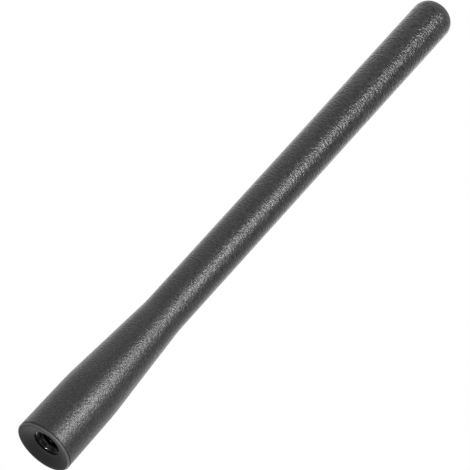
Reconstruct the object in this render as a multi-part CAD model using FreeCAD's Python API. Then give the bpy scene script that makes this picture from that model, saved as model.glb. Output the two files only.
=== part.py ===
"""Short screw-on antenna mast for a truck, standing on its seat ring.

Units are millimetres. The mast's axis is Z, the seat ring lies in the plane Z = 0 and the
tip points up. A rubber sleeve is moulded round a threaded metal ferrule, a glass-fibre rod
that stands in the ferrule, a copper wire wound on the rod and a shrink tube over the winding.
"""
import FreeCAD
import Part

import math
import os

from FreeCAD import Vector

# Outside of the sleeve
mast_length = 178.0
shaft_diameter = 11.5
foot_diameter = 16.4
collar_top_diameter = 15.8
collar_height = 20.1
taper_length = 30.8
collar_blend_radius = 75.0
shaft_blend_radius = 75.0
tip_round = 4.5
foot_edge_round = 0.4

# Underside of the sleeve
seat_ring_width = 0.5
dish_depth = 1.5
mouth_diameter = 7.9
mouth_depth = 0.4

# Threaded ferrule
tap_diameter = 5.0
tapped_depth = 10.0
lead_in_diameter = 7.4
drill_point_angle = 118.0
ferrule_diameter = 9.4
barrel_length = 14.0
groove_count = 2
groove_width = 1.5
groove_depth = 0.7
groove_spacing = 4.4
flute_count = 4
flute_depth = 0.8
neck_length = 7.0
socket_depth = 8.0

# Core rod, winding and shrink tube
rod_diameter = 5.0
rod_end_chamfer = 0.3
rod_fit = 0.02
tip_cover = 9.0
wire_diameter = 0.8
wire_sides = 4
wire_fit = 0.02
coil_pitch = 9.2
coil_end_margin = 2.0
tube_wall = 0.35
tube_fit = 0.02
tube_overlap = 5.0

# Solder joint at the foot of the winding
solder_lift = 0.5
solder_sweep_deg = 70.0
solder_lead_deg = 25.0
solder_fit = 0.01

# Heights and radii that follow from the sizes above
ferrule_face_z = dish_depth + mouth_depth
barrel_top_z = ferrule_face_z + barrel_length
neck_top_z = barrel_top_z + neck_length
socket_floor_z = neck_top_z - socket_depth
rod_top_z = mast_length - tip_cover
rod_radius = rod_diameter / 2
socket_radius = rod_radius + rod_fit
wire_radius = wire_diameter / 2
coil_radius = rod_radius + wire_fit + wire_radius
half_turn_radius = math.hypot(coil_radius, coil_pitch / 4)
coil_start_z = neck_top_z + solder_lift + wire_radius
neck_radius = half_turn_radius + wire_radius
tube_inner_radius = neck_radius + tube_fit
tube_outer_radius = tube_inner_radius + tube_wall
tube_bottom_z = neck_top_z - tube_overlap

z_axis = Vector(0, 0, 1)
origin = Vector(0, 0, 0)


def at(radius, height):
    """A point of a turned profile, in the XZ plane."""
    return Vector(radius, 0, height)


def line(start, end):
    return Part.LineSegment(start, end).toShape()


def arc(start, middle, end):
    return Part.Arc(start, middle, end).toShape()


def revolve(edges):
    """The solid turned by a closed profile of edges in the XZ plane."""
    face = Part.Face(Part.Wire(Part.__sortEdges__(edges)))
    return Part.makeSolid(face.revolve(origin, z_axis, 360))


def rounded_profile(corners):
    """Edges of a closed profile. Each corner is (radius, height, rounding), and a rounding
    above zero puts a tangent arc in that corner."""
    count = len(corners)
    points = [at(r, z) for r, z, _ in corners]
    entries, exits, arcs = [], [], []
    for i, (_, _, rounding) in enumerate(corners):
        corner = points[i]
        if rounding <= 0:
            entries.append(corner)
            exits.append(corner)
            continue
        back = (points[i - 1] - corner).normalize()
        ahead = (points[(i + 1) % count] - corner).normalize()
        half = math.acos(max(-1.0, min(1.0, back.dot(ahead)))) / 2
        reach = rounding / math.tan(half)
        inward = (back + ahead).normalize()
        centre = corner + inward * (rounding / math.sin(half))
        entries.append(corner + back * reach)
        exits.append(corner + ahead * reach)
        arcs.append(arc(entries[-1], centre - inward * rounding, exits[-1]))
    runs = [line(exits[i], entries[(i + 1) % count]) for i in range(count)
            if exits[i].distanceToPoint(entries[(i + 1) % count]) > 1e-6]
    return runs + arcs


def mast_blank():
    """The sleeve's outside with its dished foot, before anything is set into it."""
    foot = foot_diameter / 2
    seat_outer = foot - foot_edge_round
    seat_inner = seat_outer - seat_ring_width
    shaft = shaft_diameter / 2
    return revolve(rounded_profile([
        (0, dish_depth, 0),
        (mouth_diameter / 2, dish_depth, 0),
        (seat_inner, 0, 0),
        (foot, 0, foot_edge_round),
        (collar_top_diameter / 2, collar_height, collar_blend_radius),
        (shaft, collar_height + taper_length, shaft_blend_radius),
        (shaft, mast_length, min(tip_round, 0.95 * shaft)),
        (0, mast_length, 0),
    ]))


def ferrule_blank():
    """The ferrule's outside: a grooved and fluted barrel with a thinner neck on it."""
    barrel = ferrule_diameter / 2
    corners = [(0, ferrule_face_z, 0), (barrel, ferrule_face_z, 0)]
    first_groove = (ferrule_face_z + barrel_top_z - (groove_count - 1) * groove_spacing) / 2
    for i in range(groove_count):
        low = first_groove + i * groove_spacing - groove_width / 2
        high = low + groove_width
        corners += [
            (barrel, low, 0),
            (barrel - groove_depth, low, 0),
            (barrel - groove_depth, high, 0),
            (barrel, high, 0),
        ]
    corners += [
        (barrel, barrel_top_z, 0),
        (neck_radius, barrel_top_z, 0),
        (neck_radius, neck_top_z, 0),
        (0, neck_top_z, 0),
    ]
    return revolve(rounded_profile(corners)).cut(flute_cuts())


def flute_cuts():
    """V-shaped flutes along the barrel, which keep the ferrule from turning in the rubber."""
    barrel = ferrule_diameter / 2
    mouth = barrel + flute_depth
    root = barrel - flute_depth
    half_width = 2 * flute_depth
    outline = Part.makePolygon([
        Vector(root, 0, ferrule_face_z),
        Vector(mouth, half_width, ferrule_face_z),
        Vector(mouth, -half_width, ferrule_face_z),
        Vector(root, 0, ferrule_face_z),
    ])
    first = Part.Face(outline).extrude(z_axis * barrel_length)
    cuts = []
    for i in range(flute_count):
        cut = first.copy()
        cut.rotate(origin, z_axis, 360 * i / flute_count)
        cuts.append(cut)
    return Part.makeCompound(cuts)


def tapped_hole():
    """The tapping-size hole from below, with its lead-in cone and drill point."""
    tap = tap_diameter / 2
    lead = lead_in_diameter / 2
    floor_z = ferrule_face_z + tapped_depth
    point = tap / math.tan(math.radians(drill_point_angle / 2))
    return revolve(rounded_profile([
        (0, ferrule_face_z, 0),
        (lead, ferrule_face_z, 0),
        (tap, ferrule_face_z + lead - tap, 0),
        (tap, floor_z, 0),
        (0, floor_z + point, 0),
    ]))


def threaded_ferrule(blank):
    socket = Part.makeCylinder(socket_radius, socket_depth, at(0, socket_floor_z))
    return blank.cut(tapped_hole()).cut(socket)


def core_rod():
    rod = Part.makeCylinder(rod_radius, rod_top_z - socket_floor_z, at(0, socket_floor_z))
    return rod.makeChamfer(rod_end_chamfer, [rod.Edges[0], rod.Edges[2]])


def wire_section(centre):
    """The wire's section in the XZ plane, with a few flats in place of the round."""
    corners = []
    for i in range(wire_sides + 1):
        angle = 2 * math.pi * i / wire_sides
        corners.append(centre + at(wire_radius * math.cos(angle), wire_radius * math.sin(angle)))
    return Part.makePolygon(corners)


def radiator_coil():
    """One wire wound up the rod. Each half-turn is an arc in a plane that tilts up by half
    the pitch, and it meets the next half-turn with a level tangent."""
    rise = coil_pitch / 2
    room = rod_top_z - coil_end_margin - wire_radius - coil_start_z
    half_turns = 2 * int(room / coil_pitch)
    section = wire_section(at(coil_radius, coil_start_z))
    faces = [Part.Face(section)]
    for i in range(half_turns):
        side = 1 if i % 2 == 0 else -1
        start = at(side * coil_radius, coil_start_z + i * rise)
        end = at(-side * coil_radius, coil_start_z + (i + 1) * rise)
        arc_axis = Vector(0, side, 0).cross(end - start)
        faces += section.revolve((start + end) / 2, arc_axis, 180).Faces
        section.rotate((start + end) / 2, arc_axis, 180)
    faces.append(Part.Face(section))
    shell = Part.Shell(faces)
    shell.sewShape()
    coil = Part.Solid(shell)
    length = half_turns * math.pi * half_turn_radius
    area = wire_sides / 2 * wire_radius ** 2 * math.sin(2 * math.pi / wire_sides)
    print("coil: %d turns, %.0f mm of wire, volume %.2f of %.2f expected"
          % (half_turns // 2, length, coil.Volume, area * length))
    return coil


def tube_blank():
    return Part.makeCylinder(tube_outer_radius, rod_top_z - tube_bottom_z, at(0, tube_bottom_z))


def shrink_tube(blank):
    bore = Part.makeCylinder(tube_inner_radius, rod_top_z - tube_bottom_z, at(0, tube_bottom_z))
    return blank.cut(bore)


def solder_joint(coil):
    """A bed of solder on the neck's end that holds the first part of the winding."""
    inner = rod_radius + wire_fit + solder_fit
    outer = neck_radius - solder_fit
    height = coil_start_z - neck_top_z
    bed = Part.makeCylinder(outer, height, at(0, neck_top_z), z_axis, solder_sweep_deg)
    hole = Part.makeCylinder(inner, height, at(0, neck_top_z))
    bed.rotate(origin, z_axis, -solder_lead_deg)
    return bed.cut(hole).cut(coil)


def mast_sleeve(ferrule_outside, tube_outside):
    """The rubber, moulded over the ferrule and the shrink tube and open at its mouth."""
    mouth = Part.makeCylinder(mouth_diameter / 2, mouth_depth, at(0, dish_depth))
    return mast_blank().cut([mouth, ferrule_outside, tube_outside])


def build():
    ferrule_outside = ferrule_blank()
    tube_outside = tube_blank()
    coil = radiator_coil()
    return {
        "mast_sleeve": mast_sleeve(ferrule_outside, tube_outside),
        "threaded_ferrule": threaded_ferrule(ferrule_outside),
        "core_rod": core_rod(),
        "radiator_coil": coil,
        "shrink_tube": shrink_tube(tube_outside),
        "solder_joint": solder_joint(coil),
    }


def main():
    os.makedirs("parts", exist_ok=True)
    for name, shape in build().items():
        print("%s: %d solid, valid %s, %.1f mm3" % (name, len(shape.Solids), shape.isValid(), shape.Volume))
        shape.exportStep("parts/%s.step" % name)


main()
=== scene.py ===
import math

import bpy
import numpy as np
from mathutils import Matrix, Vector


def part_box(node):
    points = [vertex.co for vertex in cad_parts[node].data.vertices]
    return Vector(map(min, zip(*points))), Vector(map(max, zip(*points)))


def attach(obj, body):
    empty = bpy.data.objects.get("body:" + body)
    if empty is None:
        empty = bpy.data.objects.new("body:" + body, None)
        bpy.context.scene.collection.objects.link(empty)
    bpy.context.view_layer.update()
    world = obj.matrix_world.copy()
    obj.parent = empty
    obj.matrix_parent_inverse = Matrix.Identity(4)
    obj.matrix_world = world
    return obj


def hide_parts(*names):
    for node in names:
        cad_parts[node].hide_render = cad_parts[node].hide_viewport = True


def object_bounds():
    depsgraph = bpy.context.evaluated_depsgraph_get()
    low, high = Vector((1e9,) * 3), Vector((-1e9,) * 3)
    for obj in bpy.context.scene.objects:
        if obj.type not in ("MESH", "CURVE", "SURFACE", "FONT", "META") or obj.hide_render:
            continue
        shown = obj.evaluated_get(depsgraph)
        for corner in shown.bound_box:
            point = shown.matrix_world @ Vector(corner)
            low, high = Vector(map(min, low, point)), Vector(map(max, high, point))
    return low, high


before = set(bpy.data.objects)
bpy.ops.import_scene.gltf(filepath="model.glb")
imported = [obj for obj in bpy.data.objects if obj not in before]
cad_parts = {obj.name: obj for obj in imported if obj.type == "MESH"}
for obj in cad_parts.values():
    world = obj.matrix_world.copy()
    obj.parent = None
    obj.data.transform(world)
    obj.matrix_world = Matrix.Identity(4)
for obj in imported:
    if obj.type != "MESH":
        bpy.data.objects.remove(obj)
cadLow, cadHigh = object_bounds()
print("frame loaded with nodes", sorted(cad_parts))

mm = 0.001
scene = bpy.context.scene
scene.view_settings.view_transform = "Standard"


def linearColour(hexText):
    # sRGB hex to linear: a straight toe, then a power of 2.4
    parts = [int(hexText[i:i + 2], 16) / 255 for i in (1, 3, 5)]
    return tuple(c / 12.92 if c <= 0.04045 else ((c + 0.055) / 1.055) ** 2.4 for c in parts) + (1.0,)


def addNode(tree, kind, settings={}, values={}, links={}):
    node = tree.nodes.new(kind)
    for name, value in settings.items():
        setattr(node, name, value)
    for socket, value in values.items():
        node.inputs[socket].default_value = value
    for socket, source in links.items():
        tree.links.new(source, node.inputs[socket])
    return node


def startMaterial(name):
    # a bare tree with its output, the surface's object coordinates and a principled shader
    material = bpy.data.materials.new(name)
    material.use_nodes = True
    tree = material.node_tree
    tree.nodes.clear()
    place = addNode(tree, "ShaderNodeTexCoord").outputs["Object"]
    shader = addNode(tree, "ShaderNodeBsdfPrincipled")
    addNode(tree, "ShaderNodeOutputMaterial", links={"Surface": shader.outputs["BSDF"]})
    return material, tree, place, shader


# Turned pieces: a profile of (radius, height) spun round Z

def tangentProfile(corners, spacing):
    # Straight runs between the corners, with a tangent arc of the given rounding in each.
    # A corner is (radius, height, rounding, steps of its arc); runs are cut at the given spacing.
    points = np.array([c[:2] for c in corners], float)
    pieces = [points[:1]]
    for i in range(1, len(corners)):
        corner, rounding, steps = points[i], corners[i][2], corners[i][3]
        runStart = pieces[-1][-1]
        if rounding > 0:
            back = (points[i - 1] - corner) / np.linalg.norm(points[i - 1] - corner)
            ahead = (points[i + 1] - corner) / np.linalg.norm(points[i + 1] - corner)
            half = math.acos(np.clip(back @ ahead, -1, 1)) / 2
            inward = (back + ahead) / np.linalg.norm(back + ahead)
            centre = corner + inward * rounding / math.sin(half)
            first = corner + back * rounding / math.tan(half)
            sweep = np.linspace(-1, 1, steps + 1)[:, None] * (math.pi / 2 - half)
            side = (ahead - back) / np.linalg.norm(ahead - back)
            bend = centre + rounding * (np.sin(sweep) * side - np.cos(sweep) * inward)
        else:
            first = corner
            bend = corner[None]
        count = max(1, int(np.ceil(np.linalg.norm(first - runStart) / spacing)))
        share = np.linspace(0, 1, count + 1)[1:-1, None]
        pieces += [runStart + share * (first - runStart), bend]
    return np.concatenate(pieces)


def spunPoints(profile, columns):
    # Point (row, column) = profile row's radius turned by the column's angle, at the row's height
    turn = np.arange(columns) * 2 * math.pi / columns
    radius, height = profile[:, :1], profile[:, 1:]
    return np.stack([radius * np.cos(turn), radius * np.sin(turn), height + 0 * turn], -1)


def closedPiece(name, points, rowSlots, materials):
    # Rows of points joined into quads. The columns close on themselves, and the first and last
    # rows are one point each, which closes the ends with fans.
    rows, columns = points.shape[:2]
    vertices = np.concatenate([points[0, :1], points[1:-1].reshape(-1, 3), points[-1, :1]])
    ring = 1 + np.arange((rows - 2) * columns).reshape(rows - 2, columns)
    beside = np.roll(ring, -1, axis=1)
    quads = np.stack([ring[:-1], ring[1:], beside[1:], beside[:-1]], -1).reshape(-1, 4)
    firstFan = np.stack([np.zeros(columns, int), ring[0], beside[0]], -1)
    lastFan = np.stack([np.full(columns, len(vertices) - 1), beside[-1], ring[-1]], -1)
    mesh = bpy.data.meshes.new(name)
    mesh.from_pydata(vertices.tolist(), [], firstFan.tolist() + quads.tolist() + lastFan.tolist())
    for material in materials:
        mesh.materials.append(material)
    slots = np.repeat(np.asarray(rowSlots[:rows - 1], np.int32), columns)
    mesh.polygons.foreach_set("material_index", slots)
    mesh.polygons.foreach_set("use_smooth", np.ones(len(slots), bool))
    mesh.update()
    piece = bpy.data.objects.new(name, mesh)
    scene.collection.objects.link(piece)
    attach(piece, "root")
    print("piece", name, "with", len(slots), "faces")
    return piece


# Materials

rubber = {
    # the grain's pits are painted darker than its peaks: painted shade in the hollows
    "pitShadeColour": "#050505",
    "peakColour": "#272727",
    "footRoughness": 0.3,         # the sheen is soft at the foot and breaks into specks up the mast
    "tipRoughness": 0.19,
    "roughnessSpread": 0.06,
    "reflection": 0.34,           # of the principled shader's 0 to 1
    # pebble of the moulded grain at the foot and at the tip, measured round the mast: coarser than a real
    # spark-eroded grain of about 0.3 mm, so that it shows in a picture of the whole mast
    "footGrainSize": 0.55 * mm,
    "tipGrainSize": 0.9 * mm,
    "grainSquash": 2.2,           # how much shorter a pebble is along the mast
    "grainDepth": 0.155 * mm,     # the noise only uses about a third of this
    "footGrain": 0.6,             # share of that depth at the foot, which is smoother, and at the tip
    "tipGrain": 1.8,
    "pitRate": 0.7,               # pits to the length of a pebble
    "pitShare": 0.6,              # height of a pit's wall to that of a pebble
    "pitShadeTop": 0.55,               # height where the painted shade of the pits begins to lighten
    "capLength": 5 * mm,          # the rounded tip, where the grain runs out and the gloss is duller
    "capGrain": 0.3,
    "capRoughness": 0.4,
    "mottleSize": 9 * mm,
    "flowSize": 1.5 * mm,         # flow marks where the mould had no grain
    "flowSpread": 0.06,
    "flowDepth": 0.02 * mm,
    # under the foot the rubber is painted darker and less reflective: painted shade
    "undersideShadeColour": "#0d0d0d",
    "undersideRoughness": 0.66,
    "undersideReflection": 0.27,
    # the foot's edge is painted lighter: a painted highlight along the lip
    "lipHighlightColour": "#464646",
    "lipRoughness": 0.45,
    "lipReflection": 0.5,
}


def pebbleHeight(tree, place, size):
    # The grain's relief: soft pebbles of noise, with rounder pits of cells a little larger between them
    pebbles = addNode(tree, "ShaderNodeTexNoise",
                      values={"Scale": 1 / size, "Detail": 2.0, "Roughness": 0.6}, links={"Vector": place})
    pits = addNode(tree, "ShaderNodeTexVoronoi", {"feature": "F1"},
                   {"Scale": rubber["pitRate"] / size, "Randomness": 1.0}, {"Vector": place})
    return addNode(tree, "ShaderNodeMath", {"operation": "MULTIPLY_ADD"}, {1: rubber["pitShare"]},
                   {0: pits.outputs["Distance"], 2: pebbles.outputs["Fac"]}).outputs[0]


def grainedRubberMaterial():
    # Moulded black thermoplastic rubber with a spark-eroded grain: a soft sheen at the foot that breaks
    # into specks up the mast, pits painted darker as shade between them, a faint mottle in its gloss and a
    # dull rounded tip.
    material, tree, place, shader = startMaterial("mouldedRubberFineGrain")
    squashed = addNode(tree, "ShaderNodeMapping", values={"Scale": (1, 1, rubber["grainSquash"])},
                       links={"Vector": place}).outputs[0]
    upMast = addNode(tree, "ShaderNodeSeparateXYZ", links={0: place}).outputs["Z"]
    towardsTip = addNode(tree, "ShaderNodeMapRange", values={"From Max": cadHigh.z},
                         links={"Value": upMast})
    height = addNode(tree, "ShaderNodeMix", {"data_type": "FLOAT"}, links={
        0: towardsTip.outputs[0],
        2: pebbleHeight(tree, squashed, rubber["footGrainSize"]),
        3: pebbleHeight(tree, squashed, rubber["tipGrainSize"])})
    share = addNode(tree, "ShaderNodeMapRange", values={
        "From Max": cadHigh.z, "To Min": rubber["footGrain"], "To Max": rubber["tipGrain"]},
        links={"Value": upMast})
    onCap = addNode(tree, "ShaderNodeMapRange", values={
        "From Min": cadHigh.z - rubber["capLength"], "From Max": cadHigh.z}, links={"Value": upMast})
    capShare = addNode(tree, "ShaderNodeMapRange", values={"To Min": 1.0, "To Max": rubber["capGrain"]},
                       links={"Value": onCap.outputs[0]})
    relief = addNode(tree, "ShaderNodeMath", {"operation": "MULTIPLY"},
                     links={0: height.outputs[0], 1: share.outputs[0]})
    relief = addNode(tree, "ShaderNodeMath", {"operation": "MULTIPLY"},
                     links={0: relief.outputs[0], 1: capShare.outputs[0]})
    bump = addNode(tree, "ShaderNodeBump", values={"Strength": 1.0, "Distance": rubber["grainDepth"]},
                   links={"Height": relief.outputs[0]})
    # colour from the grain's height: painted shade in the pits, the rubber's own grey on the peaks
    outOfPitShade = addNode(tree, "ShaderNodeMapRange", values={"From Min": rubber["pitShadeTop"], "From Max": 1.0},
                     links={"Value": height.outputs[0]})
    colour = addNode(tree, "ShaderNodeMix", {"data_type": "RGBA"},
                     {6: linearColour(rubber["pitShadeColour"]), 7: linearColour(rubber["peakColour"])},
                     {"Factor": outOfPitShade.outputs[0]})
    mottle = addNode(tree, "ShaderNodeTexNoise",
                     values={"Scale": 1 / rubber["mottleSize"], "Detail": 3.0}, links={"Vector": place})
    evenGloss = addNode(tree, "ShaderNodeMapRange", values={
        "From Max": cadHigh.z, "To Min": rubber["footRoughness"], "To Max": rubber["tipRoughness"]},
        links={"Value": upMast})
    mottled = addNode(tree, "ShaderNodeMapRange", values={
        "To Min": -rubber["roughnessSpread"], "To Max": rubber["roughnessSpread"]},
        links={"Value": mottle.outputs["Fac"]})
    gloss = addNode(tree, "ShaderNodeMath", {"operation": "ADD"},
                    links={0: evenGloss.outputs[0], 1: mottled.outputs[0]})
    gloss = addNode(tree, "ShaderNodeMath", {"operation": "MULTIPLY_ADD"}, {1: rubber["capRoughness"]},
                    {0: onCap.outputs[0], 2: gloss.outputs[0]})
    shader.inputs["Specular IOR Level"].default_value = rubber["reflection"]
    tree.links.new(colour.outputs[2], shader.inputs["Base Color"])
    tree.links.new(gloss.outputs[0], shader.inputs["Roughness"])
    tree.links.new(bump.outputs[0], shader.inputs["Normal"])
    return material


def smoothRubberMaterial(name, colour, roughness, reflection):
    # The same rubber where the mould had no grain: even, with faint flow marks in its gloss.
    material, tree, place, shader = startMaterial(name)
    flow = addNode(tree, "ShaderNodeTexNoise",
                   values={"Scale": 1 / rubber["flowSize"], "Detail": 3.0}, links={"Vector": place})
    gloss = addNode(tree, "ShaderNodeMapRange", values={
        "To Min": roughness - rubber["flowSpread"], "To Max": roughness + rubber["flowSpread"]},
        links={"Value": flow.outputs["Fac"]})
    bump = addNode(tree, "ShaderNodeBump", values={"Strength": 0.15, "Distance": rubber["flowDepth"]},
                   links={"Height": flow.outputs["Fac"]})
    shader.inputs["Base Color"].default_value = linearColour(colour)
    shader.inputs["Specular IOR Level"].default_value = reflection
    tree.links.new(gloss.outputs[0], shader.inputs["Roughness"])
    tree.links.new(bump.outputs[0], shader.inputs["Normal"])
    return material


metal = {
    # the ferrule's steel is painted near black: painted shade inside the threaded hole
    "steelShadeColour": "#1d1d1d",
    "steelShadeDark": "#0f0f0f",
    "steelRoughness": 0.15,
    "turningPitch": 0.12 * mm,    # rings left by the tool, coarser than real ones so that they show
    "turningStretch": (0.05, 0.05, 1),
    "copperColour": "#c9784a",
    "copperDark": "#8a4a2c",
    "copperRoughness": 0.3,
    "drawMarks": 0.1 * mm,
    "drawStretch": (1, 1, 4),
    "solderColour": "#b8b9bc",
    "solderDark": "#85868a",
    "solderRoughness": 0.35,
    "frostSize": 0.2 * mm,
    "frostStretch": (1, 1, 1),
    "patchSize": 1.2 * mm,
    "dullRougher": 0.12,          # added to the roughness where the tone is dull
    "brightSmoother": 0.08,       # taken off it where the tone is bright
    "markDepth": 0.01 * mm,
}


def metalMaterial(name, bright, dull, roughness, patternSize, stretch):
    # A metal skin: patches between a bright and a dull tone, rougher where it is dull, and fine marks
    # of the given size, drawn out along an axis where the stretch is under 1 and squeezed where it is over.
    material, tree, place, shader = startMaterial(name)
    marks = addNode(tree, "ShaderNodeMapping", values={"Scale": stretch}, links={"Vector": place})
    lines = addNode(tree, "ShaderNodeTexNoise", values={"Scale": 1 / patternSize, "Detail": 2.0},
                    links={"Vector": marks.outputs[0]})
    patches = addNode(tree, "ShaderNodeTexNoise", values={"Scale": 1 / metal["patchSize"], "Detail": 3.0},
                      links={"Vector": place})
    colour = addNode(tree, "ShaderNodeMix", {"data_type": "RGBA"},
                     {6: linearColour(dull), 7: linearColour(bright)}, {"Factor": patches.outputs["Fac"]})
    gloss = addNode(tree, "ShaderNodeMapRange", values={
        "To Min": roughness + metal["dullRougher"], "To Max": roughness - metal["brightSmoother"]},
        links={"Value": patches.outputs["Fac"]})
    bump = addNode(tree, "ShaderNodeBump", values={"Strength": 0.25, "Distance": metal["markDepth"]},
                   links={"Height": lines.outputs["Fac"]})
    shader.inputs["Metallic"].default_value = 1.0
    tree.links.new(colour.outputs[2], shader.inputs["Base Color"])
    tree.links.new(gloss.outputs[0], shader.inputs["Roughness"])
    tree.links.new(bump.outputs[0], shader.inputs["Normal"])
    return material


inner = {
    "glassLight": "#d9d3ae",
    "glassDark": "#b3aa80",
    "glassRoughness": 0.4,
    "fibreWidth": 0.25 * mm,      # bundles of fibres, since single ones are too fine to show
    "fibreStretch": (1, 1, 0.02),
    "fibreDepth": 0.01 * mm,
    "filmColour": "#141416",
    "filmLight": "#202023",
    "filmRoughness": 0.38,
    "rippleSize": 2.5 * mm,
    "rippleStretch": (1, 1, 1),
    "rippleDepth": 0.05 * mm,
    "darkSmoother": 0.06,         # taken off the roughness where the tone is dark
    "lightRougher": 0.08,         # added to it where the tone is light
}


def plasticMaterial(name, dark, light, roughness, patternSize, stretch, depth):
    # A plastic skin: two close tones and a shallow relief from one noise, stretched along the
    # direction that the piece was drawn or shrunk in.
    material, tree, place, shader = startMaterial(name)
    marks = addNode(tree, "ShaderNodeMapping", values={"Scale": stretch}, links={"Vector": place})
    streaks = addNode(tree, "ShaderNodeTexNoise", values={"Scale": 1 / patternSize, "Detail": 3.0},
                      links={"Vector": marks.outputs[0]})
    colour = addNode(tree, "ShaderNodeMix", {"data_type": "RGBA"},
                     {6: linearColour(dark), 7: linearColour(light)}, {"Factor": streaks.outputs["Fac"]})
    gloss = addNode(tree, "ShaderNodeMapRange", values={
        "To Min": roughness - inner["darkSmoother"], "To Max": roughness + inner["lightRougher"]},
        links={"Value": streaks.outputs["Fac"]})
    bump = addNode(tree, "ShaderNodeBump", values={"Strength": 0.3, "Distance": depth},
                   links={"Height": streaks.outputs["Fac"]})
    tree.links.new(colour.outputs[2], shader.inputs["Base Color"])
    tree.links.new(gloss.outputs[0], shader.inputs["Roughness"])
    tree.links.new(bump.outputs[0], shader.inputs["Normal"])
    return material


grainedRubber = grainedRubberMaterial()
# under the foot and in the strip above its rounded edge: the rubber painted darker and less reflective, as
# painted shade
shadeDarkenedRubber = smoothRubberMaterial("mouldedRubberPaintedShade", rubber["undersideShadeColour"],
                                  rubber["undersideRoughness"], rubber["undersideReflection"])
# the foot's edge painted a lighter grey: a painted highlight, a thin light line that draws the lip
lipHighlightRubber = smoothRubberMaterial("mouldedRubberPaintedHighlight", rubber["lipHighlightColour"],
                                    rubber["lipRoughness"], rubber["lipReflection"])
# turned steel painted near black as the shade inside the threaded hole, with small hard glints and fine
# rings left by the tool
shadeDarkenedSteel = metalMaterial("turnedSteelPaintedShade", metal["steelShadeColour"], metal["steelShadeDark"],
                           metal["steelRoughness"], metal["turningPitch"], metal["turningStretch"])
# drawn copper: orange, with darker oxide patches and fine marks from the die
drawnCopper = metalMaterial("drawnBareCopper", metal["copperColour"], metal["copperDark"],
                            metal["copperRoughness"], metal["drawMarks"], metal["drawStretch"])
# soft solder: bright grey with a frosted skin
softSolder = metalMaterial("softSolderFrosted", metal["solderColour"], metal["solderDark"],
                           metal["solderRoughness"], metal["frostSize"], metal["frostStretch"])
# pultruded glass fibre: straw colour with long thin fibres
glassFibre = plasticMaterial("pultrudedGlassFibre", inner["glassDark"], inner["glassLight"],
                             inner["glassRoughness"], inner["fibreWidth"], inner["fibreStretch"],
                             inner["fibreDepth"])
# shrunk polyolefin film: black and satin, rippled over the winding
shrinkFilm = plasticMaterial("shrunkPolyolefinFilm", inner["filmColour"], inner["filmLight"],
                             inner["filmRoughness"], inner["rippleSize"], inner["rippleStretch"],
                             inner["rippleDepth"])
print("materials made:", len(bpy.data.materials))

# Boxes of the nodes, read from the frame

ferruleLow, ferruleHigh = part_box("threaded_ferrule")
tubeLow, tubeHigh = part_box("shrink_tube")
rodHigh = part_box("core_rod")[1]
coilLow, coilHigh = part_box("radiator_coil")
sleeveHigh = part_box("mast_sleeve")[1]

# Sizes of the threaded ferrule, which the sleeve is moulded round

ferrule = {
    "threadPitch": 1.0 * mm,
    "threadDepth": 0.5 * mm,
    "rootFlat": 0.125,            # flat at the thread's root and at its crest, as shares of the pitch
    "crestFlat": 0.25,
    "tapRadius": 2.5 * mm,
    "threadLength": 10 * mm,      # from the ferrule's face to the end of the full bore
    "leadInRadius": 3.7 * mm,
    "drillPoint": 1.5 * mm,
    "socketDepth": 8 * mm,
    "rodFit": 0.02 * mm,
    "tubeWall": 0.37 * mm,        # shrink tube and its clearance, between the neck and the tube's outside
    "barrelRadius": 4.7 * mm,
    "barrelLength": 14 * mm,
    "grooveHeights": (4.8 * mm, 9.2 * mm),
    "grooveWidth": 1.5 * mm,
    "grooveDepth": 0.7 * mm,
    "edgeRound": 0.12 * mm,
    "edgeSteps": 3,
    "leadInRound": 0.4 * mm,
    "leadInSteps": 10,
    "fluteCount": 4,
    "fluteDepth": 0.8 * mm,
    "columns": 144,
    "rowsPerPitch": 18,
    "spacing": 0.6 * mm,          # of the rows outside the bore
}

# Rubber sleeve

sleeve = {
    "shaftRadius": 5.75 * mm,
    "footRadius": 8.2 * mm,
    "collarTopRadius": 7.9 * mm,
    "collarHeight": 20.1 * mm,
    "taperLength": 30.8 * mm,
    "blendRadius": 75 * mm,
    "tipRound": 4.5 * mm,
    "footEdgeRound": 0.4 * mm,
    "edgeShadeBand": 0.55 * mm,        # smooth strip above the rounded edge in the darker rubber: painted shade, a dark line between the highlight and the lip
    "seatRingWidth": 0.5 * mm,
    "dishDepth": 1.5 * mm,
    "mouthRadius": 3.95 * mm,
    "lipRound": 1.6 * mm,
    "mouthRound": 0.2 * mm,
    "fineRound": 0.08 * mm,
    "tipSteps": 24,
    "edgeSteps": 12,
    "lipSteps": 6,
    "fineSteps": 3,
    "columns": 160,
    "spacing": 1.5 * mm,
}


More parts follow.
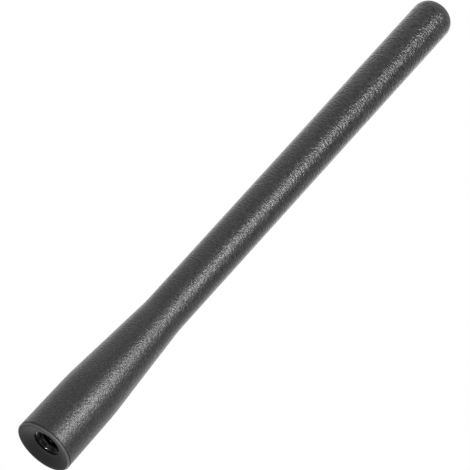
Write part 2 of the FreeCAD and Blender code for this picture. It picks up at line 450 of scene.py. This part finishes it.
def sleevePiece():
    # The outside from the tip down to the foot, the dished underside, and the cavity that the
    # ferrule and the shrink tube fill, as one profile spun round Z.
    s = sleeve
    top = sleeveHigh.z
    seatOuter = s["footRadius"] - s["footEdgeRound"]
    seatInner = seatOuter - s["seatRingWidth"]
    barrel, tube = ferrule["barrelRadius"], tubeHigh.x
    barrelTop = ferruleLow.z + ferrule["barrelLength"]
    fine, fineSteps = s["fineRound"], s["fineSteps"]
    bandTop = s["footEdgeRound"] + s["edgeShadeBand"]
    flare = (s["footRadius"] - s["collarTopRadius"]) / s["collarHeight"]
    outside = [
        (0, top, 0, 0),
        (s["shaftRadius"], top, s["tipRound"], s["tipSteps"]),
        (s["shaftRadius"], s["collarHeight"] + s["taperLength"], s["blendRadius"], s["edgeSteps"]),
        (s["collarTopRadius"], s["collarHeight"], s["blendRadius"], s["edgeSteps"]),
        (s["footRadius"] - bandTop * flare, bandTop, 0, 0),
        (s["footRadius"], 0, s["footEdgeRound"], s["edgeSteps"]),
    ]
    underside = [
        (seatInner, 0, s["lipRound"], s["lipSteps"]),
        (s["mouthRadius"], s["dishDepth"], s["mouthRound"], s["lipSteps"]),
        (s["mouthRadius"], ferruleLow.z, 0, 0),
    ]
    cavity = [
        (barrel, ferruleLow.z, fine, fineSteps),
        (barrel, barrelTop, fine, fineSteps),
        (tube, barrelTop, fine, fineSteps),
        (tube, tubeHigh.z, fine, fineSteps),
        (0, tubeHigh.z, 0, 0),
    ]
    profile = tangentProfile(outside + underside + cavity, s["spacing"])
    middle = (profile[:-1] + profile[1:]) / 2
    below = np.arange(len(middle)) >= np.argmin(profile[:, 1])
    lip = ~below & (middle[:, 1] < s["footEdgeRound"])
    shadeBand = ~below & ~lip & (middle[:, 1] < bandTop)
    # slots: painted shade under the foot and in the strip above the edge, painted highlight on the lip,
    # grain elsewhere
    piece = closedPiece("rubberSleeve", spunPoints(profile, s["columns"]), below + shadeBand + 2 * lip,
                        [grainedRubber, shadeDarkenedRubber, lipHighlightRubber])
    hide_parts("mast_sleeve")


sleevePiece()

# Threaded ferrule


def ferrulePiece():
    # One profile from the rod's socket over the outside and the face into the bore. In the bore the
    # radius gains the thread: depth times a trapezium wave of (height / pitch - angle / full turn).
    f = ferrule
    face, top = ferruleLow.z, ferruleHigh.z
    barrel, neck = f["barrelRadius"], tubeHigh.x - f["tubeWall"]
    rod = rodHigh.x + f["rodFit"]
    barrelTop, boreEnd = face + f["barrelLength"], face + f["threadLength"]
    edge, steps = f["edgeRound"], f["edgeSteps"]
    outside = [
        (0, top - f["socketDepth"], 0, 0),
        (rod, top - f["socketDepth"], edge, steps),
        (rod, top, edge, steps),
        (neck, top, edge, steps),
        (neck, barrelTop, edge, steps),
        (barrel, barrelTop, edge, steps),
    ]
    for height in reversed(f["grooveHeights"]):
        low, high = face + height - f["grooveWidth"] / 2, face + height + f["grooveWidth"] / 2
        floor = barrel - f["grooveDepth"]
        outside += [(barrel, high, edge, steps), (floor, high, edge, steps),
                    (floor, low, edge, steps), (barrel, low, edge, steps)]
    leadInTop = (f["tapRadius"], face + f["leadInRadius"] - f["tapRadius"], 0, 0)
    outside += [(barrel, face, edge, steps),
                (f["leadInRadius"], face, f["leadInRound"], f["leadInSteps"]), leadInTop]
    bore = [leadInTop, (f["tapRadius"], boreEnd, 0, 0), (0, boreEnd + f["drillPoint"], 0, 0)]
    profile = np.concatenate([tangentProfile(outside, f["spacing"])[:-1],
                              tangentProfile(bore, f["threadPitch"] / f["rowsPerPitch"])])
    points = spunPoints(profile, f["columns"])
    radius, height = profile[:, :1], profile[:, 1:]
    turn = np.arange(f["columns"]) / f["columns"]
    inBore = (np.arange(len(profile)) > np.argmin(profile[:, 1]))[:, None]

    wave = np.abs((height / f["threadPitch"] - turn) % 1 - 0.5) * 2
    crestStart = 1 - f["crestFlat"]
    groove = np.clip((crestStart - wave) / (crestStart - f["rootFlat"]), 0, 1)
    runOut = np.clip((boreEnd - height) / f["threadPitch"], 0, 1)
    threaded = f["tapRadius"] + f["threadDepth"] * groove * runOut
    inThread = inBore & (height <= boreEnd) & (radius < f["leadInRadius"] - edge)
    grown = np.where(inThread, np.maximum(radius, threaded), radius)

    # V flutes down the barrel: the radius is at most the root's plus the distance from the flute's middle
    fluteAngle = ((turn * f["fluteCount"] + 0.5) % 1 - 0.5) * 2 * math.pi / f["fluteCount"]
    flute = barrel - f["fluteDepth"] + barrel * np.abs(np.sin(fluteAngle))
    onBarrel = ~inBore & (height <= barrelTop) & (radius > f["leadInRadius"])
    grown = np.where(onBarrel, np.minimum(grown, flute), grown)
    points[..., :2] *= (grown / np.maximum(radius, 1e-9))[..., None]
    piece = closedPiece("turnedFerrule", points, np.zeros(len(profile), int), [shadeDarkenedSteel])
    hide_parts("threaded_ferrule")


ferrulePiece()

# Copper winding

winding = {"turns": 15, "wireRadius": 0.4 * mm, "clearance": 0.02 * mm, "stepsPerTurn": 40, "sides": 12}


def windingPiece():
    # A round wire on a helix: centre = (R cos t, R sin t, start + pitch t / full turn), and round it
    # a circle in the plane of the outward direction and its cross product with the tangent.
    w = winding
    start, end = coilLow.z + w["wireRadius"], coilHigh.z - w["wireRadius"]
    radius = rodHigh.x + w["clearance"] + w["wireRadius"]
    t = np.linspace(0, w["turns"] * 2 * math.pi, w["turns"] * w["stepsPerTurn"] + 1)[:, None]
    outward = np.concatenate([np.cos(t), np.sin(t), 0 * t], 1)
    rise = (end - start) / (w["turns"] * 2 * math.pi)
    centre = radius * outward + np.concatenate([0 * t, 0 * t, start + rise * t], 1)
    tangent = np.concatenate([-radius * np.sin(t), radius * np.cos(t), 0 * t + rise], 1)
    tangent /= np.linalg.norm(tangent, axis=1, keepdims=True)
    across = np.cross(outward, tangent)
    around = np.arange(w["sides"]) * 2 * math.pi / w["sides"]
    circle = w["wireRadius"] * (np.cos(around)[None, :, None] * outward[:, None]
                                + np.sin(around)[None, :, None] * across[:, None])
    points = centre[:, None] + circle
    ends = np.repeat(centre[[0, -1]][:, None], w["sides"], axis=1)
    points = np.concatenate([ends[:1], points, ends[1:]])
    piece = closedPiece("copperWinding", points, np.zeros(len(points), int), [drawnCopper])
    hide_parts("radiator_coil")


windingPiece()

carried = {"core_rod": glassFibre, "shrink_tube": shrinkFilm, "solder_joint": softSolder}
for node, material in carried.items():
    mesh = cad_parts[node].data
    mesh.materials.clear()
    mesh.materials.append(material)
print("carried over:", sorted(carried))

# Camera: below the foot, looking up along the mast, rolled so that the mast runs to the upper right

view = {
    "aimHeight": 83.195 * mm,
    "aimSide": -0.171 * mm,
    "distance": 1.2,
    "tiltDeg": 28.858,
    "rollDeg": 42.205,
    "lens": 349.3,                # mm, on a sensor this wide
    "sensorWidth": 36,
    "clipEnd": 20,
}


def photoCamera():
    tilt, roll = math.radians(view["tiltDeg"]), math.radians(view["rollDeg"])
    forward = Vector((0, math.cos(tilt), math.sin(tilt)))
    alongMast = Vector((0, -math.sin(tilt), math.cos(tilt)))
    across = Vector((1, 0, 0))
    right = alongMast * math.sin(roll) + across * math.cos(roll)
    up = alongMast * math.cos(roll) - across * math.sin(roll)
    data = bpy.data.cameras.new("photoCamera")
    data.lens = view["lens"]
    data.sensor_width = view["sensorWidth"]
    data.clip_end = view["clipEnd"]
    camera = bpy.data.objects.new("photoCamera", data)
    turn = Matrix((right, up, -forward)).transposed().to_4x4()
    aim = Vector((view["aimSide"], 0, view["aimHeight"]))
    camera.matrix_world = Matrix.Translation(aim - forward * view["distance"]) @ turn
    scene.collection.objects.link(camera)
    scene.camera = camera


photoCamera()

# Studio: white surroundings, soft lamps, a pale floor that only shows from above, and a black card

studio = {
    "ambient": 0.3,
    "floorSize": 3.0,
    "floorColour": "#8c8c8a",
    # what the camera sees of the floor without a lamp, at the mast and far away, and where that changes
    "floorGlow": (0.58, 0.93),
    "floorFade": (0.3, 1.4),
    "floorGap": 0.05 * mm,
    # narrow beam into the threaded hole: direction it comes from, distance, cone, soft edge, lamp and watts
    "beamDirection": (-0.28, -0.318, -0.904),
    "beamDistance": 0.5,
    "beamConeDeg": 0.95,
    "beamBlend": 0.5,
    "beamLampRadius": 1 * mm,
    "beamWatts": 16.0,
    # black card that the mast's right flank mirrors: its middle, half its width and half its height
    "flagMiddle": (0.38, -0.12, 0.38),
    "flagHalfWidth": 0.09,
    "flagHalfHeight": 0.14,
    # each lamp: direction it stands in, distance, height on the mast's axis that it aims at,
    # size across and along, watts
    "lamps": {
        "softbox": ((0.318, -0.817, 0.483), 0.57, -40 * mm, (0.16, 0.24), 3.5),
        "collarKey": ((0.35, -0.867, 0.356), 0.337, -10 * mm, (0.36, 0.08), 0.66),
        "tipCard": ((-0.8, 0.0, 0.6), 0.4, 200 * mm, (0.5, 0.2), 0.24),
        "rimLeft": ((-0.5, 0.75, 0.43), 0.6, 230 * mm, (0.3, 0.3), 0.22),
        "rimRight": ((0.5, 0.75, 0.43), 0.6, 230 * mm, (0.3, 0.3), 0.22),
        "dishCard": ((0.36, 0.876, -0.32), 0.5, 0.0, (0.3, 0.12), 0.5),
        "lipStrip": ((0.0, -0.28, -0.96), 0.5, 2 * mm, (1.0, 0.08), 0.9),
    },
}


def whiteWorld():
    world = bpy.data.worlds.new("whiteStudio")
    world.use_nodes = True
    tree = world.node_tree
    tree.nodes.clear()
    path = addNode(tree, "ShaderNodeLightPath").outputs
    seen = addNode(tree, "ShaderNodeMath", {"operation": "MAXIMUM"},
                   links={0: path["Is Camera Ray"], 1: path["Is Glossy Ray"]})
    seen = addNode(tree, "ShaderNodeMath", {"operation": "MAXIMUM"},
                   links={0: seen.outputs[0], 1: path["Is Transmission Ray"]})
    strength = addNode(tree, "ShaderNodeMapRange", values={"To Min": studio["ambient"], "To Max": 1.0},
                       links={"Value": seen.outputs[0]})
    white = addNode(tree, "ShaderNodeBackground", values={"Color": (1, 1, 1, 1)},
                    links={"Strength": strength.outputs[0]})
    addNode(tree, "ShaderNodeOutputWorld", links={"Surface": white.outputs[0]})
    scene.world = world


def placeLamp(name, data, direction, distance, height):
    # stands off the mast's axis in the given direction and looks back at the given height
    lamp = bpy.data.objects.new(name, data)
    back = Vector(direction).normalized()
    side = Vector((0, 0, 1)).cross(back).normalized()
    turn = Matrix((side, back.cross(side), back)).transposed().to_4x4()
    lamp.matrix_world = Matrix.Translation(Vector((0, 0, height)) + back * distance) @ turn
    lamp.visible_camera = False
    scene.collection.objects.link(lamp)


def studioLamps():
    for name, (direction, distance, height, size, power) in studio["lamps"].items():
        data = bpy.data.lights.new(name, "AREA")
        data.shape = "RECTANGLE"
        data.size, data.size_y = size
        data.energy = power
        placeLamp(name, data, direction, distance, height)
    beam = bpy.data.lights.new("holeBeam", "SPOT")
    beam.spot_size = math.radians(studio["beamConeDeg"])
    beam.spot_blend = studio["beamBlend"]
    beam.shadow_soft_size = studio["beamLampRadius"]
    beam.energy = studio["beamWatts"]
    placeLamp("holeBeam", beam, studio["beamDirection"], studio["beamDistance"], ferruleLow.z)


def paleFloor():
    # A sheet just under the seat ring. Its underside lets the camera below it look through, and for the
    # camera it glows a little, more so far away, so that it stays pale and ends in the white surroundings.
    half = studio["floorSize"] / 2
    low = -studio["floorGap"]
    mesh = bpy.data.meshes.new("paleFloor")
    mesh.from_pydata([(-half, -half, low), (half, -half, low), (half, half, low), (-half, half, low)],
                     [], [(0, 1, 2, 3)])
    material = bpy.data.materials.new("paleFloorPaper")
    material.use_nodes = True
    tree = material.node_tree
    tree.nodes.clear()
    under = addNode(tree, "ShaderNodeNewGeometry").outputs["Backfacing"]
    paper = addNode(tree, "ShaderNodeBsdfDiffuse", values={"Color": linearColour(studio["floorColour"])})
    place = addNode(tree, "ShaderNodeTexCoord").outputs["Object"]
    away = addNode(tree, "ShaderNodeVectorMath", {"operation": "LENGTH"}, links={0: place}).outputs["Value"]
    fade = addNode(tree, "ShaderNodeMapRange", values={
        "From Min": studio["floorFade"][0], "From Max": studio["floorFade"][1],
        "To Min": studio["floorGlow"][0], "To Max": studio["floorGlow"][1]}, links={"Value": away})
    path = addNode(tree, "ShaderNodeLightPath").outputs
    seen = addNode(tree, "ShaderNodeMath", {"operation": "MULTIPLY"},
                   links={0: path["Is Camera Ray"], 1: fade.outputs[0]})
    glow = addNode(tree, "ShaderNodeEmission", links={"Strength": seen.outputs[0]})
    lit = addNode(tree, "ShaderNodeAddShader", links={0: paper.outputs[0], 1: glow.outputs[0]})
    clear = addNode(tree, "ShaderNodeBsdfTransparent")
    mixed = addNode(tree, "ShaderNodeMixShader", links={0: under, 1: lit.outputs[0], 2: clear.outputs[0]})
    addNode(tree, "ShaderNodeOutputMaterial", links={"Surface": mixed.outputs[0]})
    mesh.materials.append(material)
    floor = bpy.data.objects.new("paleFloor", mesh)
    floor.visible_diffuse = False
    floor.visible_glossy = False
    floor.visible_transmission = False
    floor.visible_shadow = False
    scene.collection.objects.link(floor)


def darkFlag():
    # a black card, seen only in reflections, which deepens the flank beside the highlight
    middle = Vector(studio["flagMiddle"])
    side = Vector((0, 0, 1)).cross(middle).normalized() * studio["flagHalfWidth"]
    up = Vector((0, 0, studio["flagHalfHeight"]))
    mesh = bpy.data.meshes.new("darkFlag")
    mesh.from_pydata([middle - side - up, middle + side - up, middle + side + up, middle - side + up],
                     [], [(0, 1, 2, 3)])
    # black flock: swallows light and has no sheen
    material, _, _, shader = startMaterial("blackFlock")
    shader.inputs["Base Color"].default_value = (0, 0, 0, 1)
    shader.inputs["Specular IOR Level"].default_value = 0.0
    mesh.materials.append(material)
    flag = bpy.data.objects.new("darkFlag", mesh)
    flag.visible_camera = False
    flag.visible_diffuse = False
    flag.visible_shadow = False
    scene.collection.objects.link(flag)


whiteWorld()
studioLamps()
paleFloor()
darkFlag()
print("camera, light and floor set")
